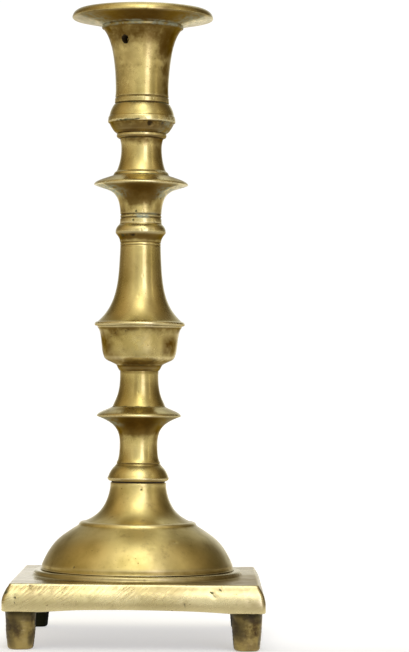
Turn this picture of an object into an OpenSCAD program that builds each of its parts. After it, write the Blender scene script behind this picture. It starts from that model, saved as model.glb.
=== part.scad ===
// Turned brass candlestick on a square footed base, taken apart into its separate pieces.
// Millimetres. The origin is on the table under the stem's axis, +Z is up and -Y is the front.

/* [Feet] */
// Height of a foot, from the table to the plate's lower edge
foot_h = 18.1; // [12:0.1:30]
// Diameter of a foot where it meets the plate
foot_top_d = 15.6; // [13:0.1:17]
// Diameter of a foot near the table
foot_d = 14; // [10:0.1:15]
// Distance of a foot's axis from each of the two edges near it
foot_inset = 9; // [9:0.1:12]

/* [Base plate] */
// Side of the square plate at its widest
plate_side = 126; // [118:0.5:150]
// Height of the plate's edge
plate_h = 13.6; // [12:0.1:18]
// How far each side leans in from its widest place to the top
plate_lean = 3.2; // [1:0.1:4]
// Radius of the plate's upright corners
plate_corner_r = 2.5; // [1:0.1:4]
// Thickness of the plate's top
plate_t = 4; // [3:0.1:5]
// Thickness of the plate's sides at the bottom
skirt_t = 5; // [4:0.1:6]
// Rise of the arch in the lower edge of each side
arch_rise = 1.3; // [0.5:0.1:2]
// Radius of the raised round pad on the plate
pad_r = 52; // [50:0.1:54]
// Height of the raised round pad
pad_h = 2.8; // [2:0.1:4]

/* [Dome] */
// Radius of the dome's foot
dome_r = 48.4; // [47:0.1:50]
// Height of the dome with its neck
dome_h = 43.1; // [41:0.1:55]
// Radius of the neck at the seam
neck_r = 14.05; // [13.9:0.05:15]
// Radius of the dome's spigot in the plate's opening
opening_r = 42; // [41:0.1:43]
// Wall of the dome's spigot
dome_wall = 3.5; // [3:0.1:4]

/* [Stem] */
// Height of the cushion ring above the seam
knop_h = 8.6; // [8.6:0.1:10]
// Height of the lower spool
lower_stem_h = 46.2; // [44:0.1:56]
// Radius of the lower disc
lower_disc_r = 21.1; // [20:0.1:23]
// Height of the cup
cup_h = 22.4; // [22:0.1:28]
// Height of the shaft with its collar bead
shaft_h = 51.4; // [48:0.1:70]
// Radius of the shaft at its thinnest
shaft_r = 10.25; // [10:0.05:10.6]
// Height of the upper spool
upper_stem_h = 45; // [43:0.1:55]
// Radius of the upper disc
upper_disc_r = 23.6; // [22:0.1:26]

/* [Nozzle] */
// Height of the nozzle
nozzle_h = 54; // [52:0.1:64]
// Diameter of the candle socket
socket_d = 22.5; // [20:0.1:23]
// Depth of the candle socket below the drip pan's sleeve
socket_depth = 30; // [25:0.1:31]
// Diameter of the extraction hole
poke_hole_d = 4; // [3:0.1:5]
// Angle of the extraction hole from the front, turning towards the left
poke_hole_angle = 31; // [-180:1:180]

/* [Drip pan] */
// Radius of the pan
pan_r = 35.6; // [33:0.1:40]
// Height of the pan from its seat to its lip
pan_h = 7.5; // [7:0.1:8]
// Depth of the pan's sleeve in the nozzle's mouth
sleeve_h = 5; // [3:0.1:5]

/* [Screw] */
// Diameter of the tie rod and its threads
rod_d = 8; // [7:0.1:9]
// Rise of the stem for each turn
thread_pitch = 2; // [1:0.1:2.5]
// Turns until the stem comes free of the base
thread_turns = 6; // [4:1:7]
// Thickness of the packing washer in the seam
washer_t = 0.8; // [0.5:0.1:1.5]

/* [Hidden] */
$fn = 96;

BRASS = [0.72, 0.62, 0.36];
PALE_BRASS = [0.83, 0.76, 0.52];
DULL_BRASS = [0.50, 0.43, 0.27];
LEATHER = [0.13, 0.09, 0.06];
IRON = [0.30, 0.28, 0.26];

// Straight pieces in one arc, and in one flowing curve
ARC_STEPS = 8;
FLOW_STEPS = 16;

// Radial play of a push fit, and of the screw in the neck
push_play = 0.05;
rod_play = 0.1;
rod_r = rod_d / 2;
rod_bore_r = rod_r + rod_play;
stud_l = thread_pitch * thread_turns;

// Turned bosses that centre one section on the next, and the recesses they sit in
boss_r = 7;
boss_h = 3;
recess_r = boss_r + push_play;
recess_h = boss_h + 0.2;

// Heights of the joints above the table
plate_z = foot_h;
dome_z = plate_z + plate_h + pad_h;
seam_z = dome_z + dome_h;
knop_z = seam_z + washer_t;
lower_stem_z = knop_z + knop_h;
cup_z = lower_stem_z + lower_stem_h;
shaft_z = cup_z + cup_h;
upper_stem_z = shaft_z + shaft_h;
nozzle_z = upper_stem_z + upper_stem_h;
pan_z = nozzle_z + nozzle_h;

// Base
half_side = plate_side / 2;
foot_axis = half_side - foot_inset;
foot_boss_r = 9.5;
tenon_r = 3.5;
tenon_h = 7;
spigot_h = 4;
cup_core_r = 12;
cup_floor = 8;

// Nozzle
socket_r = socket_d / 2;
sleeve_r = 13.6;
mouth_r = sleeve_r + push_play;
socket_top = nozzle_h - sleeve_h;
socket_floor = socket_top - socket_depth;
rod_end = socket_floor - 7;
poke_hole_z = nozzle_h - 8.3;
pan_hole_r = socket_r + 0.4;

// The circular arc from a to b that stands off their chord by rise, outwards if rise is positive
function arc(a, b, rise) =
    let (
        chord = b - a,
        span = norm(chord),
        across = [chord[1], -chord[0]] / span,
        r = (span * span / 4 + rise * rise) / (2 * rise),
        centre = (a + b) / 2 + across * (rise - r),
        from = atan2(a[1] - centre[1], a[0] - centre[0]),
        sweep = 4 * atan(2 * rise / span)
    )
    [for (i = [1:ARC_STEPS]) centre + abs(r) * [cos(from + sweep * i / ARC_STEPS), sin(from + sweep * i / ARC_STEPS)]];

// The smooth curve from a to b that leaves a towards a + out and comes into b from b + in
function flow(a, b, out, in) =
    [for (i = [1:FLOW_STEPS])
        let (t = i / FLOW_STEPS, u = 1 - t)
        u * u * u * a + 3 * t * u * u * (a + out) + 3 * t * t * u * (b + in) + t * t * t * b];

// Points of one move of an outline: [point] is straight, [point, rise] an arc, [point, out, in] a smooth curve
function move_points(from, move) =
    len(move) == 1 ? [move[0]]
    : len(move) == 2 ? arc(from, move[0], move[1])
    : flow(from, move[0], move[1], move[2]);

// An outline through its moves, the first of which is its starting point
function outline(moves) =
    [moves[0][0], for (i = [1:len(moves) - 1]) each move_points(moves[i - 1][0], moves[i])];

// A turned piece: outer moves from the bottom up, then inner points from the top down
module turned(outer, inner) {
    rotate_extrude() polygon(concat(outline(outer), inner));
}

// Inner points of a section that has a recess below, a boss on top and the rod's bore right through
function rod_bore(h) = [
    [boss_r, h], [boss_r, h + boss_h], [rod_bore_r, h + boss_h],
    [rod_bore_r, recess_h], [recess_r, recess_h], [recess_r, 0]
];

// Base

// One side of the plate's edge, from the bottom up, as [half width, height]
function plate_edge() = outline([
    [[half_side - 0.6, 0]],
    [[half_side, 0.6], 0.15],
    [[half_side, 4.7]],
    [[half_side - plate_lean + 0.6, plate_h - 0.9], 0.5],
    [[half_side - plate_lean, plate_h], 0.15]
]);

// The plate's edge along one direction, as a long bar
module plate_bar() {
    right = plate_edge();
    left = [for (i = [len(right) - 1:-1:0]) [-right[i][0], right[i][1]]];
    rotate([90, 0, 0])
        linear_extrude(plate_side, center = true)
            polygon(concat(right, left));
}

module rounded_square(side, r) {
    square([side, side - 2 * r], center = true);
    square([side - 2 * r, side], center = true);
    for (x = [-1, 1], y = [-1, 1])
        translate([x * (side / 2 - r), y * (side / 2 - r)]) circle(r);
}

module at_feet(z) {
    for (x = [-1, 1], y = [-1, 1])
        translate([x * foot_axis, y * foot_axis, z]) children();
}

// The long round that cuts the arch into the lower edges of two opposite sides
module edge_arch() {
    half_span = foot_axis - foot_top_d / 2;
    r = (half_span * half_span + arch_rise * arch_rise) / (2 * arch_rise);
    translate([0, 0, arch_rise - r])
        rotate([90, 0, 0])
            cylinder(r = r, h = plate_side + 2, center = true);
}

module base_plate() {
    inner_side = plate_side - 2 * skirt_t;
    hollow_h = plate_h - plate_t;
    color(PALE_BRASS)
        translate([0, 0, plate_z])
            difference() {
                union() {
                    intersection() {
                        plate_bar();
                        rotate(90) plate_bar();
                        linear_extrude(plate_h) rounded_square(plate_side, plate_corner_r);
                    }
                    cylinder(r = pad_r, h = plate_h + pad_h);
                }
                difference() {
                    translate([-inner_side / 2, -inner_side / 2, -1]) cube([inner_side, inner_side, hollow_h + 1]);
                    at_feet(-2) cylinder(r = foot_boss_r, h = hollow_h + 3);
                }
                edge_arch();
                rotate(90) edge_arch();
                translate([0, 0, -1]) cylinder(r = opening_r, h = plate_h + pad_h + 2);
                at_feet(-1) cylinder(r = tenon_r, h = tenon_h + 1.2);
            }
}

// A peg foot with its tenon, standing on the table at x, y
module foot(x, y) {
    color(DULL_BRASS)
        translate([x * foot_axis, y * foot_axis, 0])
            turned([
                [[0, 0]],
                [[foot_d / 2 - 1, 0]],
                [[foot_d / 2, 1.2], 0.25],
                [[foot_top_d / 2 - 0.4, foot_h - 2]],
                [[foot_top_d / 2, foot_h], -0.15]
            ], [
                [tenon_r, foot_h], [tenon_r, foot_h + tenon_h], [0, foot_h + tenon_h]
            ]);
}

module foot_front_left() { foot(-1, -1); }
module foot_front_right() { foot(1, -1); }
module foot_back_left() { foot(-1, 1); }
module foot_back_right() { foot(1, 1); }

module base_dome() {
    bead_z = dome_h - 21.2;
    shell_r = opening_r - dome_wall;
    cavity = outline([
        [[12, bead_z + 3]],
        [[27, bead_z - 3], [4, -0.4], [-4, 3]],
        [[shell_r, 5], [6, -4.5], [0, 5]],
        [[shell_r, -spigot_h]]
    ]);
    color(BRASS)
        translate([0, 0, dome_z])
            turned([
                [[opening_r, -spigot_h]],
                [[opening_r, 0]],
                [[dome_r, 0]],
                [[dome_r - 0.8, 2.4], 0.2],
                [[30, bead_z - 0.3], [-5, 11.6], [8.4, -5.5]],
                [[29.2, bead_z]],
                [[27, bead_z + 2.2], 0.75],
                [[26.2, bead_z + 2.1]],
                [[25.9, bead_z + 2.4]],
                [[neck_r, dome_h - 2.1], [-4.8, 2], [1.6, -11.3]],
                [[neck_r, dome_h - 0.5]],
                [[neck_r - 0.4, dome_h], 0.15]
            ], concat([
                [rod_r + push_play, dome_h], [rod_r + push_play, bead_z + 3]
            ], cavity));
}

// Seam

module seam_washer() {
    color(LEATHER)
        translate([0, 0, seam_z])
            difference() {
                cylinder(r = neck_r - 0.7, h = washer_t);
                translate([0, 0, -1]) cylinder(r = rod_r + 0.3, h = washer_t + 2);
            }
}

module tie_rod() {
    chamfer = 0.8;
    top = nozzle_z + rod_end - 0.5;
    color(IRON)
        turned([
            [[0, knop_z - stud_l]],
            [[rod_r - chamfer, knop_z - stud_l]],
            [[rod_r, knop_z - stud_l + chamfer]],
            [[rod_r, top - chamfer]],
            [[rod_r - chamfer, top]]
        ], [[0, top]]);
}

// Stem, from the seam up

module knop() {
    color(BRASS)
        translate([0, 0, knop_z])
            turned([
                [[14.3, 0]],
                [[15.3, 0.9], 0.1],
                [[15.45, 1.7], 0.1],
                [[15.2, 1.9]],
                [[11.9, 7.8], 0.8],
                [[11.1, knop_h]]
            ], [
                [boss_r, knop_h], [boss_r, knop_h + boss_h], [rod_r, knop_h + boss_h], [rod_r, 0]
            ]);
}

module lower_stem() {
    disc_z = 23.5;
    color(BRASS)
        translate([0, 0, lower_stem_z])
            turned([
                [[10.8, 0]],
                [[10.8, 0.4]],
                [[11.1, 0.6]],
                [[9.5, 8.6], [-1.3, 1.3], [0, -2.6]],
                [[lower_disc_r - 0.3, disc_z], [-0.4, 10], [-7.1, -2.8]],
                [[lower_disc_r - 0.2, disc_z + 1], 0.3],
                [[14.9, disc_z + 3.4], [-4.4, 1.4], [0.3, -0.2]],
                [[13.6, disc_z + 4.5], 0.35],
                [[13, disc_z + 4.5]],
                [[9.8, lower_stem_h - 2], [-0.6, 3.8], [0, -10.6]],
                [[9.8, lower_stem_h - 0.6]],
                [[9.5, lower_stem_h - 0.4]],
                [[9.5, lower_stem_h]]
            ], rod_bore(lower_stem_h));
}

module cup() {
    core_r = cup_core_r + push_play;
    color(BRASS)
        translate([0, 0, cup_z])
            turned([
                [[9.7, 0]],
                [[9.7, 0.4]],
                [[11.9, 2.7], 0.6],
                [[12, 3.1]],
                [[18, 7.6], [3.2, 1.6], [-0.5, -2.6]],
                [[19.6, 17.6], [1.1, 2.9], [-0.7, -4.1]],
                [[21.3, cup_h - 0.4], [0.4, 2.4], [-0.9, -1.2]],
                [[21.3, cup_h]]
            ], [
                [core_r, cup_h], [core_r, cup_floor], [rod_bore_r, cup_floor],
                [rod_bore_r, recess_h], [recess_r, recess_h], [recess_r, 0]
            ]);
}

module shaft() {
    spigot = 2;
    waist_z = shaft_h - 12.8;
    color(BRASS)
        translate([0, 0, shaft_z])
            turned([
                [[cup_core_r, -spigot]],
                [[cup_core_r, 0]],
                [[21.6, 0]],
                [[22.65, 1], 0.3],
                [[21.7, 2.2], 0.3],
                [[21.3, 2.3]],
                [[shaft_r, waist_z], [-9.1, 8], [0.7, -18.7]],
                [[shaft_r, waist_z + 1.5]],
                [[shaft_r - 0.2, waist_z + 1.7]],
                [[shaft_r, waist_z + 1.9]],
                [[shaft_r, waist_z + 2.9]],
                [[shaft_r - 0.2, waist_z + 3.1]],
                [[shaft_r + 0.05, waist_z + 3.3]],
                [[12, waist_z + 7.2], [0.2, 2.2], [-0.7, -1]],
                [[12.65, waist_z + 8.4], 0.12],
                [[11.2, shaft_h - 0.8], [0.1, 1.8], [0.6, -0.8]],
                [[10.7, shaft_h - 0.5]],
                [[10.7, shaft_h]]
            ], [
                [boss_r, shaft_h], [boss_r, shaft_h + boss_h],
                [rod_bore_r, shaft_h + boss_h], [rod_bore_r, -spigot]
            ]);
}

module upper_stem() {
    disc_z = 19.1;
    top = upper_stem_h;
    color(BRASS)
        translate([0, 0, upper_stem_z])
            turned([
                [[10.5, 0]],
                [[10.5, 2.4]],
                [[10.15, 2.6]],
                [[10.15, 2.9]],
                [[10.45, 3.1]],
                [[10.4, 4]],
                [[10.1, 4.2]],
                [[10.1, 4.5]],
                [[10.4, 4.7]],
                [[upper_disc_r - 0.2, disc_z], [0.6, 12.6], [-7.3, -2.8]],
                [[upper_disc_r - 0.1, disc_z + 0.8], 0.2],
                [[14.8, disc_z + 5.3], [-0.6, 2.8], [0.6, -0.3]],
                [[13.7, disc_z + 6.5], [-0.6, 0.3], [0.2, -0.5]],
                [[12.9, disc_z + 8.1], 0.35],
                [[12.6, disc_z + 8.1]],
                [[10.2, top - 7.6], [-1.7, 3], [0, -4.4]],
                [[11, top - 2.7], [0, 2.4], [-0.4, -0.6]],
                [[10.8, top - 2.6]],
                [[10.9, top - 1.8]],
                [[12.5, top - 0.4], 0.75],
                [[11.8, top]]
            ], rod_bore(upper_stem_h));
}

module nozzle() {
    outer = [
        [[11.8, 0]],
        [[12, 0.7]],
        [[13.9, 0.9]],
        [[16.6, 5.2], 0.1],
        [[17, 6.6], 0.12],
        [[16.6, 8.6], 0.1],
        [[16.4, 8.7]],
        [[14, 14.6], 0.35],
        [[13.45, 14.8]],
        [[13.45, 15.1]],
        [[13.7, 15.3]],
        [[13.65, 17.6]],
        [[13.3, 17.8]],
        [[13.3, 18.2]],
        [[13.5, 18.4]],
        [[13.3, 23], [-0.2, 1.5], [0, -1.5]],
        [[19.7, nozzle_h - 1.6], [0.4, 16.3], [-3.5, -3.5]],
        [[20.3, nozzle_h - 1.4]],
        [[20.5, nozzle_h - 1.1]],
        [[20.5, nozzle_h]]
    ];
    inner = [
        [mouth_r, nozzle_h], [mouth_r, socket_top], [socket_r, socket_top],
        [socket_r, socket_floor], [0, socket_floor], [0, rod_end], [rod_r, rod_end],
        [rod_r, recess_h], [recess_r, recess_h], [recess_r, 0]
    ];
    color(BRASS)
        translate([0, 0, nozzle_z])
            difference() {
                turned(outer, inner);
                translate([0, 0, poke_hole_z])
                    rotate([90, 0, -poke_hole_angle])
                        cylinder(d = poke_hole_d, h = nozzle_h);
            }
}

module drip_pan() {
    dish = outline([
        [[pan_r - 3.4, pan_h - 0.2]],
        [[pan_hole_r + 2.5, 4.1], [-1.8, -3.4], [4, 0.4]],
        [[pan_hole_r, 3.6], 0.15],
        [[pan_hole_r, -sleeve_h]]
    ]);
    color(BRASS)
        translate([0, 0, pan_z])
            turned([
                [[sleeve_r, -sleeve_h]],
                [[sleeve_r, 0]],
                [[20.5, 0]],
                [[pan_r - 0.7, 3.4], [4.2, 1.3], [-3.4, -0.5]],
                [[pan_r - 0.1, 4.4], 0.25],
                [[pan_r - 2.6, pan_h], 0.55]
            ], dish);
}

base_plate();
base_dome();
foot_front_left();
foot_front_right();
foot_back_left();
foot_back_right();
seam_washer();
tie_rod();
knop();
lower_stem();
cup();
shaft();
upper_stem();
nozzle();
drip_pan();
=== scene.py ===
"""Looks of a turned brass candlestick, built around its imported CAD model."""

import math
import random

import bmesh
import bpy
import numpy as np
from mathutils import Matrix, Vector, noise


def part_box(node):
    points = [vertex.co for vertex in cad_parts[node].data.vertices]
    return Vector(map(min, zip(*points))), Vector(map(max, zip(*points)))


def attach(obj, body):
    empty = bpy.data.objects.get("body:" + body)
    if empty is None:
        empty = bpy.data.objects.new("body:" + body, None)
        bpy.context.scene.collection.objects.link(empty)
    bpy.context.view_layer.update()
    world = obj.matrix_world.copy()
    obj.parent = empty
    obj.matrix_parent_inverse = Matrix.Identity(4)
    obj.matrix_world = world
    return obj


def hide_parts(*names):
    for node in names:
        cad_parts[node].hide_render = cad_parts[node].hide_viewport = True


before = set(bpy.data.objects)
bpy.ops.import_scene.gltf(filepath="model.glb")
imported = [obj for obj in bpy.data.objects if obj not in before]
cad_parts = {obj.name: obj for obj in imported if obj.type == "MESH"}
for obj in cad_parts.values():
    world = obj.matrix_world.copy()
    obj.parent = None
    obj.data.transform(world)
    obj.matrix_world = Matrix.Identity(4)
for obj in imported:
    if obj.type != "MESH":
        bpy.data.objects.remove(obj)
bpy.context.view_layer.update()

MM = 0.001
SMALL = 1e-6

# ---------------------------------------------------------------- outlines, as (radius, height) in mm

ARC_STEPS = 14
FLOW_STEPS = 48
SAMPLE = 0.08  # spacing of an outline's samples before it is thinned


def arc(a, b, rise):
    """The circular arc from a to b that stands off their chord by rise, outwards if rise is positive."""
    chord = b - a
    span = np.hypot(*chord)
    across = np.array([chord[1], -chord[0]]) / span
    r = (span**2 / 4 + rise**2) / (2 * rise)
    centre = (a + b) / 2 + across * (rise - r)
    start = math.atan2(a[1] - centre[1], a[0] - centre[0])
    turn = start + 4 * math.atan(2 * rise / span) * np.arange(1, ARC_STEPS + 1) / ARC_STEPS
    return centre + abs(r) * np.column_stack([np.cos(turn), np.sin(turn)])


def flow(a, b, leave, arrive):
    """The smooth curve from a to b that leaves a towards a + leave and comes into b from b + arrive."""
    t = (np.arange(1, FLOW_STEPS + 1) / FLOW_STEPS)[:, None]
    u = 1 - t
    return u**3 * a + 3 * t * u**2 * (a + leave) + 3 * t**2 * u * (b + arrive) + t**3 * b


def outline(moves):
    """Points of an outline: point is a straight move, (point, rise) an arc, (point, leave, arrive) a curve."""
    points = [np.array([moves[0]], float)]
    for move in moves[1:]:
        last = points[-1][-1]
        if not isinstance(move[0], tuple):
            points.append(np.array([move], float))
        elif len(move) == 2:
            points.append(arc(last, np.array(move[0], float), move[1]))
        else:
            points.append(flow(last, *(np.array(part, float) for part in move)))
    return np.concatenate(points)


def resample(points, step, closed):
    """Points at even steps along a polyline, and how far along it each one is."""
    line = np.vstack([points, points[:1]]) if closed else points
    along = np.concatenate([[0], np.cumsum(np.hypot(*np.diff(line, axis=0).T))])
    count = max(8, int(along[-1] / step))
    at = np.linspace(0, along[-1], count, endpoint=not closed)
    return np.column_stack([np.interp(at, along, line[:, k]) for k in (0, 1)]), at


def smoothed(points, width, closed):
    """The polyline averaged over a bell of this width in mm."""
    reach = int(4 * width / SAMPLE) + 1
    bell = np.exp(-0.5 * (np.arange(-reach, reach + 1) * SAMPLE / width) ** 2)
    bell /= bell.sum()
    if closed:
        padded = np.vstack([points[-reach:], points, points[:reach]])
    else:
        first, last = points[0], points[-1]
        padded = np.vstack([2 * first - points[reach:0:-1], points, 2 * last - points[-2 : -reach - 2 : -1]])
    return np.column_stack([np.convolve(padded[:, k], bell, "valid") for k in (0, 1)])


def thinned(rows, tolerance, longest):
    """Indices of the rows that a polyline needs to keep its shape, none over longest mm from the next."""
    keep = {0, len(rows) - 1}
    todo = [(0, len(rows) - 1)]
    while todo:
        i, j = todo.pop()
        if j - i < 2:
            continue
        chord = rows[j] - rows[i]
        away = rows[i + 1 : j] - rows[i]
        share = np.clip(away @ chord / max(chord @ chord, SMALL), 0, 1)
        off = np.linalg.norm(away - share[:, None] * chord, axis=1)
        if off.max() > tolerance:
            k = i + 1 + int(off.argmax())
        elif np.hypot(*chord[:2]) > longest[i]:
            k = (i + j) // 2
        else:
            continue
        keep.add(k)
        todo += [(i, k), (k, j)]
    return sorted(keep)


# ---------------------------------------------------------------- meshes

DENT_GRIME = 2.4  # dirt in a dent for each mm of its depth
CLEFT_GRIME = 0.8
CLEFT_ENDS = 8  # degrees over which a cleft opens
FADE_ANGLE = 30  # degrees over which a mark fades
HOLLOW_SIGHT = 0.9  # mm over which a hollow or an edge is felt
FULL_GRIME = 0.34  # mm of hollow that fills with dirt
FULL_WEAR = 0.22  # mm of edge that is rubbed bright
COLUMN_WEIGHTS = (1, 1, 0.12, 0.12, 0.1, 0)  # what each column of a row counts for in thinning
TOLERANCE = 0.012  # mm that thinning may move an outline
LONGEST_OUTSIDE, LONGEST_INSIDE = 1.0, 6.0  # mm between rows
ROUND_STEPS = 192  # points round a turned piece


def mesh_object(name, verts, faces, marks):
    """A mesh object in metres, with one float attribute per entry of marks."""
    data = bpy.data.meshes.new(name)
    data.from_pydata([tuple(v) for v in verts], [], faces)
    for mark, values in marks.items():
        data.attributes.new(mark, "FLOAT", "POINT").data.foreach_set("value", np.asarray(values, np.float32))
    data.shade_smooth()
    obj = bpy.data.objects.new(name, data)
    bpy.context.scene.collection.objects.link(obj)
    return obj


def turned_rows(outer, inner, rounding):
    """Thinned rows (radius, height, grime, wear, under, outside) of a turned piece's whole outline."""
    points = np.vstack([outer, np.array(inner, float)])
    closed = outer[0][0] > SMALL
    line, at = resample(points, SAMPLE, closed)
    outer_length = np.hypot(*np.diff(outer, axis=0).T).sum()
    worn = smoothed(line, rounding, closed)
    run = np.gradient(worn, axis=0)
    run /= np.maximum(np.hypot(*run.T), SMALL)[:, None]
    out = np.column_stack([run[:, 1], -run[:, 0]])
    hollow = ((smoothed(line, HOLLOW_SIGHT, closed) - worn) * out).sum(1)
    grime_and_shade = np.clip(hollow / FULL_GRIME, 0, 1)
    wear = np.clip(-hollow / FULL_WEAR, 0, 1)
    # how far the outline faces down; the brass material paints shade there, mottled like tarnish
    under = np.clip(-out[:, 1], 0, 1)
    outside = (at <= outer_length).astype(float)
    rows = np.column_stack([worn, grime_and_shade, wear, under, outside])
    rows[:, 0] = np.maximum(rows[:, 0], 0)
    if not closed:
        rows[[0, -1], 0] = 0
    longest = np.where(outside > 0.5, LONGEST_OUTSIDE, LONGEST_INSIDE)
    return rows[thinned(rows * COLUMN_WEIGHTS, TOLERANCE, longest)], closed


def ring_faces(count, around, closed, flipped=False):
    """Quads between rings of points, and from the last ring to the first if the outline is closed."""
    faces = []
    for i in range(count if closed else count - 1):
        a, b = i * around, (i + 1) % count * around
        for k in range(around):
            n = (k + 1) % around
            faces.append((a + k, b + k, b + n, a + n) if flipped else (a + k, a + n, b + n, b + k))
    return faces


def turned(name, z, outer, inner, rounding=0.16, segments=ROUND_STEPS, shape=None):
    """A lathe-turned piece whose outline's heights start at z mm. shape may change its radii afterwards."""
    rows, closed = turned_rows(outline(outer), inner, rounding)
    turn = np.linspace(0, 2 * math.pi, segments, endpoint=False)
    radius = np.repeat(rows[:, :1], segments, axis=1)
    height = np.repeat(rows[:, 1:2] + z, segments, axis=1)
    if shape:
        radius = shape(radius, height, turn[None, :], rows[:, 5:6])
    verts = np.stack([radius * np.cos(turn), radius * np.sin(turn), height], axis=2).reshape(-1, 3)
    marks = {
        mark: np.repeat(rows[:, c], segments) for c, mark in enumerate(("grime_and_shade", "wear", "under", "outside"), 2)
    }
    obj = mesh_object(name, verts * MM, ring_faces(len(rows), segments, closed), marks)
    if not closed:
        close_poles(obj)
    return obj


def close_poles(obj):
    """Joins each ring of vertices on the axis into one vertex."""
    bm = bmesh.new()
    bm.from_mesh(obj.data)
    poles = [v for v in bm.verts if math.hypot(v.co.x, v.co.y) < 1e-7]
    bmesh.ops.remove_doubles(bm, verts=poles, dist=1e-6)
    bm.to_mesh(obj.data)
    bm.free()


def front_point(angle, r, z):
    """The point in mm at this angle from the front, positive to the right, on the radius r."""
    a = math.radians(angle)
    return Vector((r * math.sin(a), -r * math.cos(a), z))


def mark_of(obj, name):
    """A mark's values, one for each vertex."""
    values = np.zeros(len(obj.data.vertices), np.float32)
    obj.data.attributes[name].data.foreach_get("value", values)
    return values


def set_mark(obj, name, values):
    """Writes a mark that the piece already has."""
    obj.data.attributes[name].data.foreach_set("value", np.asarray(values, np.float32))


def soiled_and_shaded(obj, grime_and_shade):
    """Raises a piece's grime mark to at least this: dirt in its hollows, and on the feet painted shade."""
    set_mark(obj, "grime_and_shade", np.maximum(mark_of(obj, "grime_and_shade"), np.clip(grime_and_shade, 0, 1)))


def front_angle(points):
    """Degrees from the front, positive to the right."""
    return np.degrees(np.arctan2(points[:, 0], -points[:, 1]))


def coordinates(obj):
    values = np.zeros(len(obj.data.vertices) * 3, np.float32)
    obj.data.vertices.foreach_get("co", values)
    return values.reshape(-1, 3).astype(float)


def normals(obj):
    values = np.zeros(len(obj.data.vertices) * 3, np.float32)
    obj.data.vertex_normals.foreach_get("vector", values)
    return values.reshape(-1, 3).astype(float)


def set_coordinates(obj, points):
    obj.data.vertices.foreach_set("co", points.astype(np.float32).ravel())
    obj.data.update()


def dent(obj, dents):
    """Pushes small hollows into a piece: (point in mm, radius, depth), and lets dirt gather in them."""
    points, out, grime_and_shade = coordinates(obj), normals(obj), mark_of(obj, "grime_and_shade")
    for centre, radius, depth in dents:
        near = np.linalg.norm(points / MM - np.array(centre), axis=1) / radius
        fall = np.clip(1 - near**2, 0, 1) ** 2
        points -= out * (fall * depth * MM)[:, None]
        grime_and_shade = np.maximum(grime_and_shade, fall * depth * DENT_GRIME)
    set_coordinates(obj, points)
    soiled_and_shaded(obj, grime_and_shade)


def nicked(obj, nicks):
    """Dents in a turned piece: (angle from the front, distance from the axis, height, radius, depth)."""
    dent(obj, [(front_point(*nick[:3]), *nick[3:]) for nick in nicks])


def pitted(obj, seed, angle, r, z, spread, tall, count, size=0.7):
    """A cluster of small casting pits round this angle and height, over spread degrees and tall mm."""
    dice = random.Random(seed)
    nicked(obj, [
        (dice.gauss(angle, spread), r, dice.gauss(z, tall),
         dice.uniform(0.5, 1.2) * size, dice.uniform(0.15, 0.4))
        for _ in range(count)
    ])


def cleft(obj, r, z, first, last, width, depth):
    """Opens a ragged casting flaw along a ring, from one angle to another, and lets dirt gather in it."""
    points = coordinates(obj)
    x, y, height = (points / MM).T
    angle = front_angle(points)
    wobble = np.array([noise.noise(Vector((a * 0.07, z, 0.3))) for a in angle])
    ragged = np.array([noise.noise(Vector((a * 0.16, z, 7.7))) for a in angle])
    ends = np.clip((angle - first) / CLEFT_ENDS, 0, 1) * np.clip((last - angle) / CLEFT_ENDS, 0, 1)
    near = 1 - ((height - z - 0.9 * wobble) / (width * (0.8 + 0.9 * ragged))) ** 2
    fall = np.clip(near, 0, 1) * ends * np.clip(0.75 + 1.3 * ragged, 0, 1) * (np.abs(np.hypot(x, y) - r) < 3)
    points -= normals(obj) * (fall * depth * MM)[:, None]
    set_coordinates(obj, points)
    soiled_and_shaded(obj, fall * CLEFT_GRIME)


def aged(obj, mark, patches):
    """Marks soft patches (angle from the front, height, half angle, half height, strength) on a piece."""
    points = coordinates(obj)
    angle, height = front_angle(points), points[:, 2] / MM
    value = np.zeros(len(points))
    for a, z, wide, tall, strength in patches:
        off = ((angle - a + 180) % 360 - 180) / wide
        value = np.maximum(value, strength * np.exp(-(off**4) - ((height - z) / tall) ** 4))
    if mark in obj.data.attributes:
        value = np.maximum(value, mark_of(obj, mark))
    else:
        obj.data.attributes.new(mark, "FLOAT", "POINT")
    set_mark(obj, mark, value)


def faded(obj, mark, bottom, top, share, beyond=-1):
    """Leaves only this share of a mark between two heights in mm, setting in at this angle from the front."""
    points = coordinates(obj)
    set_in = (points[:, 2] > bottom * MM) & (points[:, 2] < top * MM)
    if beyond > 0:
        set_in = set_in * np.clip((np.abs(front_angle(points)) - beyond) / FADE_ANGLE, 0, 1)
    set_mark(obj, mark, mark_of(obj, mark) * (1 - (1 - share) * set_in))


def hand_worn(obj, depth, size, seed):
    """Uneven hand work: the outside sinks by up to depth mm, in waves of this size in mm."""
    points, out, outside = coordinates(obj), normals(obj), mark_of(obj, "outside")
    shift = Vector((seed * 3.7, seed * 1.3, seed * 2.1))
    wave = np.array([noise.noise(Vector(p) / (size * MM) + shift) for p in points])
    points -= out * (outside * depth * MM * np.clip(0.5 + 0.5 * wave, 0, 1))[:, None]
    set_coordinates(obj, points)


def dressed(obj, node, body, material):
    """The finished piece stands for a CAD node, rides on its body and takes its material."""
    obj.data.materials.clear()
    obj.data.materials.append(material)
    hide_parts(node)
    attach(obj, body)
    return obj


# ---------------------------------------------------------------- materials


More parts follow.
